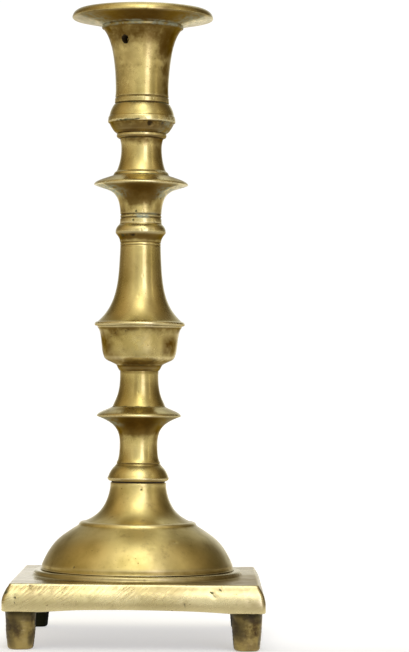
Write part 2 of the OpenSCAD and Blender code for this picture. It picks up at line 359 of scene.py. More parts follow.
class Nodes:
    """A node tree, built call by call. place names the texture coordinates that it works in."""

    def __init__(self, tree, place):
        self.tree = tree
        self.tree.nodes.clear()
        self.place = self.node("ShaderNodeTexCoord").outputs[place]

    def node(self, kind, **settings):
        made = self.tree.nodes.new(kind)
        for key, value in settings.items():
            setattr(made, key, value)
        return made

    def link(self, a, b):
        self.tree.links.new(a, b)

    def plug(self, value, socket):
        if isinstance(value, bpy.types.NodeSocket):
            self.link(value, socket)
        else:
            socket.default_value = value

    def math(self, operation, a, b=0.0, clamp=False):
        made = self.node("ShaderNodeMath", operation=operation, use_clamp=clamp)
        self.plug(a, made.inputs[0])
        self.plug(b, made.inputs[1])
        return made.outputs[0]

    def times(self, a, b):
        return self.math("MULTIPLY", a, b)

    def plus(self, a, b):
        return self.math("ADD", a, b)

    def parts(self):
        """The place's x, y and z."""
        split = self.node("ShaderNodeSeparateXYZ")
        self.link(self.place, split.inputs[0])
        return list(split.outputs)

    def noise(self, scale, detail=4.0, rough=0.55, place=None):
        made = self.node("ShaderNodeTexNoise")
        self.plug(place or self.place, made.inputs["Vector"])
        made.inputs["Scale"].default_value = scale
        made.inputs["Detail"].default_value = detail
        made.inputs["Roughness"].default_value = rough
        return made.outputs[0]

    def stretched(self, scale):
        made = self.node("ShaderNodeMapping")
        self.link(self.place, made.inputs["Vector"])
        made.inputs["Scale"].default_value = scale
        return made.outputs[0]

    def ramp(self, value, low, high):
        """0 below low and 1 above high, easing in between."""
        made = self.node("ShaderNodeMapRange", interpolation_type="SMOOTHSTEP")
        self.plug(value, made.inputs["Value"])
        made.inputs["From Min"].default_value = low
        made.inputs["From Max"].default_value = high
        return made.outputs[0]

    def between(self, value, low, high):
        """low where value is 0 and high where it is 1."""
        made = self.node("ShaderNodeMapRange")
        self.plug(value, made.inputs["Value"])
        made.inputs["To Min"].default_value = low
        made.inputs["To Max"].default_value = high
        return made.outputs[0]

    def mix(self, factor, a, b):
        made = self.node("ShaderNodeMix", data_type="RGBA")
        self.plug(factor, made.inputs["Factor"])
        self.plug(a if isinstance(a, bpy.types.NodeSocket) else (*a, 1.0), made.inputs["A"])
        self.plug(b if isinstance(b, bpy.types.NodeSocket) else (*b, 1.0), made.inputs["B"])
        return made.outputs["Result"]

    def mark(self, name):
        return self.node("ShaderNodeAttribute", attribute_name=name).outputs["Fac"]

    def bump(self, height, strength, distance, below=None):
        made = self.node("ShaderNodeBump")
        made.inputs["Strength"].default_value = strength
        made.inputs["Distance"].default_value = distance
        self.link(height, made.inputs["Height"])
        if below is not None:
            self.link(below, made.inputs["Normal"])
        return made.outputs[0]


class Surface(Nodes):
    """A material's node tree with its one shader."""

    def __init__(self, name):
        self.material = bpy.data.materials.new(name)
        self.material.use_nodes = True
        super().__init__(self.material.node_tree, "Object")
        self.shader = self.node("ShaderNodeBsdfPrincipled")
        self.link(self.shader.outputs[0], self.node("ShaderNodeOutputMaterial").inputs["Surface"])

    def set(self, name, value):
        """Gives the shader's socket a number, a colour or another node's output."""
        self.plug(value, self.shader.inputs[name])


GOLD = (0.72, 0.58, 0.23)
OLIVE = (0.52, 0.41, 0.135)
BRIGHT = (0.86, 0.75, 0.42)
BROWN = (0.15, 0.078, 0.012)
TARNISH_AND_SHADE = (0.11, 0.056, 0.006)
DIRT = (0.045, 0.028, 0.010)
VERDIGRIS = (0.13, 0.16, 0.07)
CRUST_AND_SHEEN = (0.36, 0.39, 0.28)


def file_strokes(n):
    """Slanting file marks on the sides of the plate, bunched in places."""
    x, y, z = n.parts()
    run = n.plus(x, y)
    across = n.math("SUBTRACT", n.times(run, 0.50), n.times(z, 0.87))
    along = n.plus(n.times(run, 0.87), n.times(z, 0.50))
    slant = n.node("ShaderNodeCombineXYZ")
    n.link(n.times(across, 1500.0), slant.inputs[0])
    n.link(n.times(along, 80.0), slant.inputs[1])
    bunched = n.between(n.ramp(n.noise(34, 2, 0.5), 0.40, 0.56), 0.30, 1.0)
    marks = n.ramp(n.noise(1.0, 3, 0.65, slant.outputs[0]), 0.44, 0.62)
    kept = n.between(n.ramp(n.plus(x, n.times(y, 0.3)), 0.018, -0.028), 0.25, 1.0)
    return n.times(n.times(marks, n.times(bunched, kept)), n.mark("side"))


def old_brass(name, gold=GOLD, olive=OLIVE, stain_and_shade=0.6, gloss=0.22, brushed=0.75, filed=False):
    """Old brass: gold and olive patina, brown stains, painted shade on its undersides and sides, dark pits, pale
    crust with some painted sheen, and dirt and verdigris in its hollows.
    """
    n = Surface(name)
    grime_and_shade, wear, under = n.mark("grime_and_shade"), n.mark("wear"), n.mark("under")

    patina = n.ramp(n.noise(45, 5, 0.6), 0.35, 0.68)
    colour = n.mix(patina, gold, olive)
    dulled = n.times(n.ramp(n.noise(19, 4, 0.6), 0.45, 0.65), 0.30)
    colour = n.mix(dulled, colour, BROWN)
    if filed:
        fresh = n.times(n.ramp(n.parts()[0], -0.005, 0.045), n.mark("side"))
        colour = n.mix(n.times(fresh, 0.6), colour, (0.70, 0.60, 0.33))
    blotches = n.noise(120, 6, 0.62)
    stains_and_shade = n.times(n.ramp(blotches, 0.56, 0.80), stain_and_shade)
    # placed stain patches: real stains, and painted shade on the pieces' sides and in their dark reflections
    placed = n.times(n.mark("stain_and_shade"), n.between(n.ramp(n.noise(230, 5, 0.65), 0.30, 0.62), 0.55, 1.0))
    stains_and_shade = n.math("MAXIMUM", stains_and_shade, placed)
    colour = n.mix(stains_and_shade, colour, BROWN)
    # painted shade on surfaces that face down (the under mark), mottled like tarnish
    mottled = n.times(n.math("SUBTRACT", n.noise(170, 6, 0.72), 0.5), 0.6)
    shaded = n.plus(under, mottled)
    tarnish_and_shade = n.times(n.ramp(shaded, 0.03, 0.30), 0.85)
    colour = n.mix(tarnish_and_shade, colour, TARNISH_AND_SHADE)
    colour = n.mix(n.times(wear, 0.6), colour, BRIGHT)
    spots = n.ramp(n.noise(900, 2, 0.4), 0.69, 0.76)
    sparse = n.ramp(n.noise(90, 2, 0.5), 0.46, 0.62)
    spots = n.times(spots, sparse)
    colour = n.mix(n.times(spots, 0.75), colour, BROWN)

    uneven = n.noise(260, 4, 0.6)
    dirt_and_shade = n.ramp(n.plus(grime_and_shade, n.times(n.math("SUBTRACT", uneven, 0.5), 0.9)), 0.30, 0.85)
    if filed:
        strokes = file_strokes(n)
        colour = n.mix(n.times(strokes, 0.32), colour, BROWN)
    # crust mark: real crust at joints and in grooves, and painted pale sheen at the ends of undersides
    crust_and_sheen = n.times(n.mark("crust_and_sheen"), n.ramp(n.noise(420, 5, 0.7), 0.40, 0.58))
    green = n.times(dirt_and_shade, n.ramp(n.noise(75, 3, 0.5), 0.48, 0.62))
    colour = n.mix(dirt_and_shade, colour, DIRT)
    colour = n.mix(n.times(green, 0.5), colour, VERDIGRIS)
    colour = n.mix(crust_and_sheen, colour, CRUST_AND_SHEEN)

    n.set("Base Color", colour)
    covered = n.math("MAXIMUM", dirt_and_shade, crust_and_sheen)
    n.set("Metallic", n.math("SUBTRACT", 1.0, n.times(covered, 0.9)))
    haze = n.between(n.noise(180, 5, 0.65), gloss - 0.06, gloss + 0.12)
    rough = n.plus(haze, n.times(covered, 0.45))
    rough = n.plus(rough, n.times(n.plus(stains_and_shade, tarnish_and_shade), 0.16))
    rough = n.math("SUBTRACT", rough, n.times(n.mark("smooth"), 0.13), clamp=True)
    n.set("Roughness", rough)
    n.set("Specular IOR Level", 0.15)
    browned = n.math("MAXIMUM", tarnish_and_shade, stains_and_shade, clamp=True)
    n.set("Specular Tint", n.mix(browned, (1, 0.99, 0.95), (0.58, 0.48, 0.28)))

    around = n.node("ShaderNodeTangent", direction_type="RADIAL", axis="Z")
    n.set("Tangent", around.outputs[0])
    n.set("Anisotropic", brushed)
    n.set("Anisotropic Rotation", 0.25)

    lines = n.noise(1.0, 3, 0.6, n.stretched((30, 30, 1900)))
    relief = n.bump(lines, 0.07, 0.00012)
    relief = n.bump(n.noise(1500, 3, 0.6), 0.07, 0.0001, relief)
    relief = n.bump(n.noise(110, 3, 0.5), 0.12, 0.0005, relief)
    relief = n.bump(n.math("SUBTRACT", 1.0, spots), 0.35, 0.00015, relief)
    if filed:
        relief = n.bump(strokes, 0.42, 0.00022, relief)
    n.set("Normal", relief)
    return n.material


def dull_shaded_brass(name):
    """Unpolished brass of the feet, also darkened as painted shade under the plate: mottled brown and olive,
    with turning rings, painted shade at the top and lighter towards the bottom.
    """
    n = Surface(name)
    grime_and_shade = n.mark("grime_and_shade")
    patches = n.ramp(n.noise(150, 6, 0.65), 0.38, 0.66)
    colour = n.mix(patches, (0.30, 0.225, 0.075), (0.065, 0.036, 0.012))
    gleams = n.ramp(n.noise(260, 4, 0.6), 0.55, 0.72)
    colour = n.mix(n.times(gleams, 0.5), colour, (0.38, 0.30, 0.12))
    z = n.parts()[2]
    # lighter towards the bottom
    lighter_low = n.times(n.ramp(z, 0.009, 0.003), 0.5)
    colour = n.mix(lighter_low, colour, (0.40, 0.30, 0.11))
    # stain mark: stains, and painted shade on the feet's shaded sides
    colour = n.mix(n.mark("stain_and_shade"), colour, (0.055, 0.042, 0.022))
    # painted shade at the top of the foot, under the plate
    shade_under_plate = n.times(n.ramp(z, 0.0150, 0.0178), 0.8)
    # the grime mark on the feet is mostly painted shade under the plate
    dirt_and_shade = n.ramp(n.plus(grime_and_shade, n.times(n.noise(320, 4, 0.6), 0.6)), 0.55, 1.0)
    colour = n.mix(n.math("MAXIMUM", dirt_and_shade, shade_under_plate), colour, (0.012, 0.012, 0.006))
    n.set("Base Color", colour)
    n.set("Specular IOR Level", 0.2)
    n.set("Specular Tint", n.mix(dirt_and_shade, (1, 0.98, 0.9), (0.1, 0.09, 0.06)))
    n.set("Metallic", n.between(patches, 0.95, 0.55))
    n.set("Roughness", n.between(patches, 0.30, 0.5))
    rings = n.noise(1.0, 2, 0.5, n.stretched((20, 20, 700)))
    relief = n.bump(rings, 0.55, 0.0005)
    relief = n.bump(n.noise(700, 4, 0.6), 0.35, 0.0003, relief)
    n.set("Normal", relief)
    return n.material


def dark_leather_and_seam_shade(name):
    """Dark, matt leather with a fine grain; as the seam washer it also stands in for the shadow in the seam."""
    n = Surface(name)
    grain = n.noise(900, 5, 0.6)
    n.set("Base Color", n.mix(grain, (0.018, 0.012, 0.008), (0.055, 0.035, 0.022)))
    n.set("Roughness", n.between(grain, 0.65, 0.9))
    n.set("Normal", n.bump(grain, 0.4, 0.0002))
    return n.material


def old_iron(name):
    """Dark wrought iron, brown with rust in patches and bright where it is worn."""
    n = Surface(name)
    wear = n.mark("wear")
    rust = n.ramp(n.noise(350, 5, 0.65), 0.48, 0.7)
    colour = n.mix(rust, (0.17, 0.155, 0.14), (0.11, 0.05, 0.022))
    colour = n.mix(n.times(wear, 0.7), colour, (0.42, 0.40, 0.37))
    n.set("Base Color", colour)
    n.set("Metallic", n.between(rust, 0.95, 0.3))
    n.set("Roughness", n.between(rust, 0.34, 0.75))
    n.set("Normal", n.bump(n.noise(1400, 4, 0.6), 0.25, 0.0002))
    return n.material


STEM_BRASS = old_brass("stem_brass")
PLATE_BRASS = old_brass("plate_brass", (0.62, 0.525, 0.27), (0.53, 0.445, 0.20), 0.35, 0.24, 0.0, filed=True)
FOOT_BRASS = dull_shaded_brass("foot_brass")
DOME_BRASS = old_brass("dome_brass", gloss=0.30)
LEATHER_AND_SEAM_SHADE = dark_leather_and_seam_shade("washer_leather")
IRON = old_iron("rod_iron")

# ---------------------------------------------------------------- measures, from the frame, in mm


def low(node):
    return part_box(node)[0].z / MM


def high(node):
    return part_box(node)[1].z / MM


def reach(node):
    """How far the node goes in +x, which for a turned piece is its radius."""
    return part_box(node)[1].x / MM


SPIGOT = 4.0  # the dome's, in the plate
SLEEVE, SLEEVE_R = 5.0, 13.6  # the pan's, in the nozzle
CUP_SPIGOT = 2.0  # the shaft's, in the cup
BOSS_R, BOSS_H = 7.0, 3.0
RECESS_R, RECESS_H = 7.05, 3.2
ROD_R = reach("tie_rod")
BORE_R = ROD_R + 0.1
RECESS = [(BORE_R, RECESS_H), (RECESS_R, RECESS_H), (RECESS_R, 0)]  # takes the boss of the section below

plate_z = low("base_plate")
dome_z = low("base_dome") + SPIGOT
seam_z = high("base_dome")
knop_z = low("knop")
lower_stem_z = low("lower_stem")
cup_z = low("cup")
shaft_z = low("shaft") + CUP_SPIGOT
upper_stem_z = low("upper_stem")
nozzle_z = low("nozzle")
pan_z = low("drip_pan") + SLEEVE
half_side = reach("base_plate")
foot_axis = (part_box("foot_front_right")[0].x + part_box("foot_front_right")[1].x) / 2 / MM
foot_top_r = reach("foot_front_right") - foot_axis


def boss(h, r=BORE_R):
    """Inner points of a section with a boss on top, h mm up, down to the bore of radius r."""
    return [(BOSS_R, h), (BOSS_R, h + BOSS_H), (r, h + BOSS_H)]


# ---------------------------------------------------------------- the square plate

SIDE_STEPS = 120
CORNER_STEPS = 8
CORNER_R = 2.5
TOP_CORNER_R = 1.6
ARCH_RISE = 1.3
PAD_R = 52.0
PAD_H = 2.8
PLATE_T = 4.0
SKIRT_T = 5.0
LEAN = 3.2
OPENING_R = 42.0
FOOT_BOSS_R = 9.5
BOSS_LIMIT = 59.6  # the feet's bosses end inside the plate's sides
PLATE_PITS = 88


def square_ring(half, r):
    """A square of this half side with corners of radius r, as points that match those of any other."""
    ring = []
    for quarter in range(4):
        side = [(half, t * (half - r)) for t in np.linspace(-1, 1, SIDE_STEPS, endpoint=False)]
        turn = np.linspace(0, math.pi / 2, CORNER_STEPS, endpoint=False)
        corner = [(half - r + r * math.cos(a), half - r + r * math.sin(a)) for a in turn]
        spin = np.array([[0, -1], [1, 0]])
        ring.append(np.array(side + corner) @ np.linalg.matrix_power(spin, quarter).T)
    return np.concatenate(ring)


def round_ring(r):
    """A circle whose points lie in the directions of the square's."""
    around = square_ring(half_side, CORNER_R)
    return around / np.hypot(*around.T)[:, None] * r


def plate_rings():
    """The plate's rings from the rim of its opening, out over the top, round the edge and back underneath."""
    top = high("base_plate") - PAD_H
    rings = []  # (points, height, grime, wear, side, under)

    def ring(points, z, grime_and_shade=0.0, wear=0.0, side=0.0, under=0.0):
        rings.append((points, z, grime_and_shade, wear, side, under))

    ring(round_ring(OPENING_R), top + PAD_H - 0.3)
    ring(round_ring(OPENING_R + 0.3), top + PAD_H)
    ring(round_ring(PAD_R - 4.5), top + PAD_H, 0.15)
    ring(round_ring(PAD_R - 3.7), top + PAD_H, 0.25)
    ring(round_ring(PAD_R - 3.2), top + PAD_H, 0.15)
    for point in outline([
        (PAD_R - 1.6, top + PAD_H), ((PAD_R, top + PAD_H - 1.5), (1.0, 0), (-0.1, 0.9)),
        ((PAD_R + 1.9, top), (0.1, -0.8), (-1.2, 0)),
    ])[::6]:
        slope = 1 - abs(point[1] - top - 1.4) / 1.4
        ring(round_ring(point[0]), point[1], 0.1 + 0.25 * slope)
    inner, edge = round_ring(PAD_R + 2.2), square_ring(half_side - LEAN - 1.0, TOP_CORNER_R)
    for share in (0.12, 0.25, 0.4, 0.55, 0.7, 0.85, 0.95, 1.0):
        ring(inner * (1 - share) + edge * share, top, 0.25 * (1 - share) ** 3)
    for a in np.linspace(15, 75, 4):
        s, c = math.sin(math.radians(a)), math.cos(math.radians(a))
        ring(square_ring(half_side - LEAN - 1.0 + s * 1.0, TOP_CORNER_R), top - 1.0 + c * 1.0, 0, 0.9, 0.4)
    for point in outline([
        (half_side - LEAN + 0.15, plate_z + 12.4), ((half_side, plate_z + 4.7), -0.6),
        (half_side, plate_z + 1.3),
    ])[::2]:
        share = (half_side - point[0]) / LEAN
        ring(square_ring(point[0], CORNER_R + (TOP_CORNER_R - CORNER_R) * share), point[1], side=1.0)
    # the lower edge and the underside take the under mark: painted shade
    for a in np.linspace(15, 165, 7):
        s, c = math.sin(math.radians(a)), math.cos(math.radians(a))
        ring(square_ring(half_side - 1.1 + c * 1.1, CORNER_R), plate_z + 1.1 - s * 1.1, 0, 0.8 * (c > -0.5), 0.5)
    inner_half = half_side - SKIRT_T
    ring(square_ring(inner_half + 0.5, 1.5), plate_z, 0.3, under=1)
    ring(square_ring(inner_half, 1.5), plate_z + 0.5, 0.3, under=1)
    ceiling = top - PLATE_T
    ring(square_ring(inner_half, 1.5), ceiling - 1.2, 0.5, under=1)
    ring(square_ring(inner_half - 0.4, 1.5), ceiling - 0.3, 0.9, under=1)
    ring(square_ring(inner_half - 1.2, 1.5), ceiling, 0.7, under=1)
    outer, rim = square_ring(inner_half - 3, 1.5), round_ring(OPENING_R + 0.6)
    for share in (0.0, 0.3, 0.6, 0.85, 1.0):
        ring(outer * (1 - share) + rim * share, ceiling, 0.3, under=1)
    ring(round_ring(OPENING_R), ceiling + 0.6, 0.4, under=1)
    return rings


def arched(points):
    """Lifts the plate's lower edge into a shallow arch along each side."""
    x, y, z = points.T
    along = np.where(np.abs(x) > np.abs(y), y, x)
    half_span = foot_axis - foot_top_r
    rise = ARCH_RISE * np.clip(1 - (along / half_span) ** 2, 0, None)
    near_edge = np.clip((np.maximum(np.abs(x), np.abs(y)) - half_side + SKIRT_T + 1) / 1.5, 0, 1)
    near_foot = np.clip((plate_z + 4.5 - z) / 4.5, 0, 1) ** 2
    points[:, 2] += rise * near_foot * near_edge
    return points


def make_plate():
    """The square plate with its nicks and file marks, and a boss for each foot underneath."""
    rings = plate_rings()
    count, around = len(rings), len(rings[0][0])
    verts = arched(np.concatenate([np.column_stack([p, np.full(around, z)]) for p, z, *_ in rings]))
    marks = {
        mark: np.repeat([r[c] for r in rings], around)
        for c, mark in enumerate(("grime_and_shade", "wear", "side", "under"), 2)
    }
    marks["outside"] = 1.0 - marks["under"]
    plate = mesh_object("base_plate_piece", verts * MM, ring_faces(count, around, True, flipped=True), marks)

    def face(x, z, side=0):
        """The point x mm along a side of the plate: 0 is the front, 1 the right, 2 the back, 3 the left."""
        out = half_side - (LEAN - 0.15) * min(max((z - plate_z - 4.7) / 7.7, 0), 1)
        spin = math.radians(90 * side)
        return (x * math.cos(spin) + out * math.sin(spin), x * math.sin(spin) - out * math.cos(spin), z)

    dent(plate, [
        (face(36.9, 28.2), 1.5, 0.5), (face(37.6, 26.6), 1.5, 0.5), (face(39.2, 26.0), 1.4, 0.45),
        (face(41.0, 29.6), 1.3, 0.45), (face(-49.6, 30.9), 1.0, 0.35), (face(-48.7, 30.2), 0.9, 0.3),
        (face(-56.5, 25.2), 1.5, 0.45), (face(-36, 27.6), 0.9, 0.25), (face(12.0, 28.4), 1.2, 0.3),
        (face(-22.0, 24.6), 1.4, 0.25), (face(24, 23), 1.3, 0.35), (face(57, 27.6), 1.4, 0.35),
        (face(3, 25), 1.0, 0.25), (face(30, 21.5), 1.2, 0.3), ((61.0, -61.0, 24.0), 3.0, 0.45),
        ((-61.5, -61.5, 28.0), 3.0, 0.4), (face(20, 30, 1), 1.8, 0.4), (face(-35, 24, 1), 1.5, 0.3),
        (face(-5, 29, 3), 2.0, 0.4), (face(-15, 27, 2), 1.6, 0.35), (face(33, 30, 2), 2.2, 0.4),
    ])
    dice = random.Random(5)
    dent(plate, [
        (face(dice.uniform(-58, 58), dice.uniform(20.5, 30), k % 4),
         dice.uniform(0.8, 1.3), dice.uniform(0.15, 0.3))
        for k in range(PLATE_PITS)
    ])
    hand_worn(plate, 0.35, 16, 1)
    aged(plate, "smooth", [(-80, 32, 62, 3, 1.0), (180, 32, 60, 3, 0.6)])
    # stain patches, partly painted shade: those along the top edge dull its highlight
    aged(plate, "stain_and_shade", [
        (8, 32.6, 50, 1.0, 0.4), (66, 31.9, 34, 1.4, 0.55), (150, 32.4, 50, 1.2, 0.35),
        (-22, 21.4, 14, 1.4, 0.35), (20, 20.8, 16, 1.2, 0.3), (46, 22, 8, 2.2, 0.35), (0, 31, 400, 2.4, 0.16),
        (34, 30.6, 32, 2.8, 0.34),
    ])
    tall = high("base_plate") - PAD_H - PLATE_T - plate_z + 1.0
    for x in (-1, 1):
        for y in (-1, 1):
            boss = turned("foot_boss", plate_z, [
                (0, 0), (FOOT_BOSS_R - 0.3, 0), ((FOOT_BOSS_R, 0.4), 0.08), (FOOT_BOSS_R - 0.4, tall),
            ], [(0, tall)], segments=64)
            points = coordinates(boss) + np.array([x, y, 0]) * foot_axis * MM
            points[:, :2] = np.clip(points[:, :2], -BOSS_LIMIT * MM, BOSS_LIMIT * MM)
            set_coordinates(boss, points)
            joined_solid(plate, boss, "UNION")
    return plate


def joined_solid(obj, other, how):
    """Applies a boolean of obj with other, and removes other."""
    cut = obj.modifiers.new("cut", "BOOLEAN")
    cut.operation = how
    cut.solver = "EXACT"
    cut.object = other
    bpy.context.view_layer.update()
    done = bpy.data.meshes.new_from_object(obj.evaluated_get(bpy.context.evaluated_depsgraph_get()))
    obj.modifiers.clear()
    obj.data = done
    bpy.data.objects.remove(other)


# ---------------------------------------------------------------- the turned pieces


def make_foot(name, x, y):
    """The foot on the side x, y (each -1 or 1), with turning rings and a tenon in the plate."""
    top = plate_z
    r = foot_top_r

    def rings(radius, height, turn, outside):
        tooled = 0.10 * np.clip(np.sin(height * 2 * math.pi / 1.9), 0, 1)
        fade = np.clip((height - 2.5) / 1.5, 0, 1) * np.clip((top - 3 - height) / 2, 0, 1)
        return radius - tooled * fade * outside * (radius > 3)

    foot = turned(name, 0, [
        (0, 0), (r - 2.9, 0), ((r - 1.35, 1.8), 0.5), ((r - 0.3, top - 2.2), 0.2), ((r, top), -0.1),
    ], [(3.5, top), (3.5, top + 7), (0, top + 7)], rounding=0.2, segments=72, shape=rings)
    # painted shade: sides that face in under the plate darken, and the back feet are darkened all over as if in
    # shadow
    inward_shade = np.clip(normals(foot) @ np.array([-x, -y, 0.0]) * 0.6, 0, 1)
    soiled_and_shaded(foot, inward_shade if y < 0 else 0.6 + 0.4 * inward_shade)
    # stain patches, partly painted shade on the feet's shaded sides, their backs and their tops under the plate
    aged(foot, "stain_and_shade", [
        (-42, 12 - x, 40 - 5 * x, 5.5, 0.75), (30, 15.5, 60, 2.0, 0.6), (58 + 8 * x, 5, 15, 3, 0.7),
        (-60 * x - 110, 5, 30, 4, 0.6), (170, 12, 50, 4, 0.6),
    ])
    set_coordinates(foot, coordinates(foot) + np.array([x, y, 0]) * foot_axis * MM)
    hand_worn(foot, 0.3, 5, 3 + 2 * x + y)
    return foot


def make_dome():
    top = seam_z - dome_z
    bead = top - 21.2
    foot_r = reach("base_dome")
    neck_r = 14.05
    cavity = outline([
        (12, bead + 3), ((27, bead - 3), (4, -0.4), (-4, 3)), ((OPENING_R - 3.5, 5), (6, -4.5), (0, 5)),
        (OPENING_R - 3.5, -SPIGOT),
    ])
    dome = turned("base_dome_piece", dome_z, [
        (OPENING_R, -SPIGOT), (OPENING_R, -0.04), (foot_r, -0.04), (foot_r - 0.1, 0.35), (foot_r - 0.75, 0.9),
        ((foot_r - 0.8, 2.4), 0.05), ((30, bead - 0.3), (-5, 11.6), (8.4, -5.5)), (29.4, bead + 0.2),
        ((27.2, bead + 1.9), 0.6), (26.5, bead + 1.95), (26.1, bead + 2.2),
        ((neck_r, top - 2.1), (-4.8, 2), (1.6, -11.3)), (neck_r, top - 0.2), (neck_r - 0.2, top),
    ], [(ROD_R + 0.05, top), (ROD_R + 0.05, bead + 3), *cavity], segments=256)
    nicked(dome, [
        (-39, 47.0, 37.6, 1.5, 0.4), (-36.5, 46.8, 37.0, 1.2, 0.35), (12, 41.0, 47.5, 1.1, 0.32),
        (10.5, 41.6, 47.0, 0.8, 0.2), (30, 38.5, 50.2, 1.2, 0.3), (27, 38.6, 50.0, 0.9, 0.22),
        (150, 44, 44, 1.8, 0.4), (-120, 40, 49, 1.5, 0.35), (90, 46, 39, 1.3, 0.3), (205, 33, 54, 1.4, 0.3),
    ])
    nicked(dome, [(8, 14.4, 74.6, 0.9, 0.4)])
    faded(dome, "wear", 76.5, 78, 0.2)
    faded(dome, "grime_and_shade", 34, 36.5, 0.15)
    hand_worn(dome, 0.25, 22, 9)
    # stain patches; the pairs on the left and right sides are painted shade
    aged(dome, "stain_and_shade", [
        (-62, 70, 20, 9, 0.4), (60, 68, 16, 9, 0.45), (-70, 45, 18, 10, 0.35), (40, 36, 60, 1.6, 0.5),
    ])
    return dome


# the seam washer is dark leather, and its dark band also paints the shadow in the seam
def make_washer():
    t = high("seam_washer") - low("seam_washer")
    hole_r = ROD_R + 0.3
    return turned("seam_washer_piece", low("seam_washer"), [
        (hole_r, 0), (reach("seam_washer") - 0.2, 0), ((reach("seam_washer"), t / 2), 0.06),
        ((reach("seam_washer") - 0.2, t), 0.06),
    ], [(hole_r, t)], rounding=0.08)


def make_rod():
    """The tie rod, with its screw thread cut on the stud below the knop."""
    bottom, top = low("tie_rod"), high("tie_rod")
    pitch, depth = 2.0, 0.95

    def thread(radius, height, turn, outside):
        phase = (height / pitch - turn / (2 * math.pi)) % 1
        groove = np.clip(1 - np.abs(phase - 0.5) * 2.6, 0, 1)
        cut = (height < knop_z + 2) * (radius > ROD_R - 1)
        return radius - depth * groove * cut

    stud = [(ROD_R, z) for z in np.arange(0.9, knop_z - bottom + 2, 0.12)]
    return turned("tie_rod_piece", bottom, [
        (0, 0), (ROD_R - 0.8, 0), (ROD_R, 0.8), *stud, (ROD_R, top - bottom - 0.8),
        (ROD_R - 0.8, top - bottom),
    ], [(0, top - bottom)], rounding=0.1, segments=64, shape=thread)


def make_knop():
    top = lower_stem_z - knop_z
    knop = turned("knop_piece", knop_z, [
        (14.3, 0), ((15.3, 0.9), 0.12), ((15.45, 1.7), 0.12), (15.15, 1.95), ((11.4, 7.8), 0.5), (10.95, top),
    ], [*boss(top, ROD_R), (ROD_R, 0)])
    faded(knop, "wear", 85.5, 87.5, 0.1)
    hand_worn(knop, 0.15, 9, 11)
    # a dark ring at the joint, and painted shade on the left and right sides
    aged(knop, "stain_and_shade", [(0, 86.2, 400, 0.5, 0.5), (-66, 82, 16, 3, 0.4), (64, 82, 16, 3, 0.4)])
    return knop


def make_lower_stem():
    top = cup_z - lower_stem_z
    disc, disc_r = 23.5, reach("lower_stem")
    stem = turned("lower_stem_piece", lower_stem_z, [
        (10.8, 0), (10.8, 0.4), (11.1, 0.6), ((9.5, 8.6), (-1.3, 1.3), (0, -2.6)),
        ((disc_r - 0.35, disc), (-0.4, 10), (-7.1, -2.8)), ((disc_r - 0.25, disc + 1), 0.3),
        ((13.4, disc + 4.9), (-0.9, 1.5), (2.2, -1.2)), (13.2, disc + 5.05),
        ((9.65, top - 2), (-0.9, 3.2), (0, -10.6)), (9.7, top),
    ], boss(top) + RECESS)
    pitted(stem, 71, 10, 10.6, 119, 9, 2.5, 8, 0.6)
    pitted(stem, 72, 15, 11.5, 105, 30, 2, 12, 0.6)
    pitted(stem, 73, 180, 10.5, 120, 70, 8, 20, 0.6)
    faded(stem, "wear", 86, 88.3, 0.1)
    faded(stem, "wear", 130.5, 134, 0.0)
    faded(stem, "under", 100, 110.6, 0.5, beyond=38)
    hand_worn(stem, 0.15, 12, 13)
    # stain patches, partly painted shade: the pairs on the left and right sides darken them
    aged(stem, "stain_and_shade", [
        (0, 132.6, 400, 0.5, 0.6), (-3, 106.5, 42, 3.4, 0.85), (-72, 98, 20, 10, 0.7), (66, 97, 20, 10, 0.7),
        (-65, 126, 18, 8, 0.5), (-8, 125, 5, 8, 0.3), (70, 124, 16, 9, 0.5), (180, 118, 60, 14, 0.4),
        (84, 113, 36, 2, 0.3),
    ])
    # crust patches at the ends of the disc's underside: painted pale sheen
    aged(stem, "crust_and_sheen", [(-84, 108.2, 42, 2.6, 0.9), (86, 108.8, 40, 2.2, 0.5)])
    return stem


def make_cup():
    top = shaft_z - cup_z
    core_r, floor = 12.05, 8
    cup = turned("cup_piece", cup_z, [
        (9.75, 0), (10.0, 0.25), ((11.35, 2.7), 0.12), (11.6, 3.0), ((18, 7.6), (3.0, 1.9), (-0.5, -2.6)),
        ((19.6, 17.6), (1.1, 2.9), (-0.7, -4.1)), ((21.3, top - 0.4), (0.4, 2.4), (-0.9, -1.2)), (21.3, top),
    ], [(core_r, top), (core_r, floor), (BORE_R, floor), *RECESS])
    pitted(cup, 31, -38, 19.8, 151.4, 7, 0.8, 16, 0.9)
    pitted(cup, 32, -22, 20.2, 153.4, 4, 0.6, 8)
    pitted(cup, 33, 10, 19.8, 151.5, 30, 2.5, 12)
    pitted(cup, 34, 170, 19.7, 149, 40, 3.5, 24)
    faded(cup, "wear", 133, 134.5, 0.1)
    faded(cup, "under", 136, 147, 0.25)
    faded(cup, "under", 147, 155.4, 0.5)
    hand_worn(cup, 0.2, 10, 15)
    # stain patches, partly painted shade: the large patches on the left and right darken the cup's sides
    aged(cup, "stain_and_shade", [
        (-68, 146, 26, 6.5, 1.0), (56, 145.5, 19, 5.5, 1.0), (-38, 152, 17, 2.2, 0.6),
        (2, 136.6, 60, 1.4, 0.7), (-56, 140.5, 26, 2.6, 0.8), (10, 146, 60, 7, 0.16), (150, 147, 30, 6, 0.5),
        (-140, 146, 24, 6, 0.5),
    ])
    aged(cup, "crust_and_sheen", [(4, 146, 15, 7, 0.10)])
    return cup


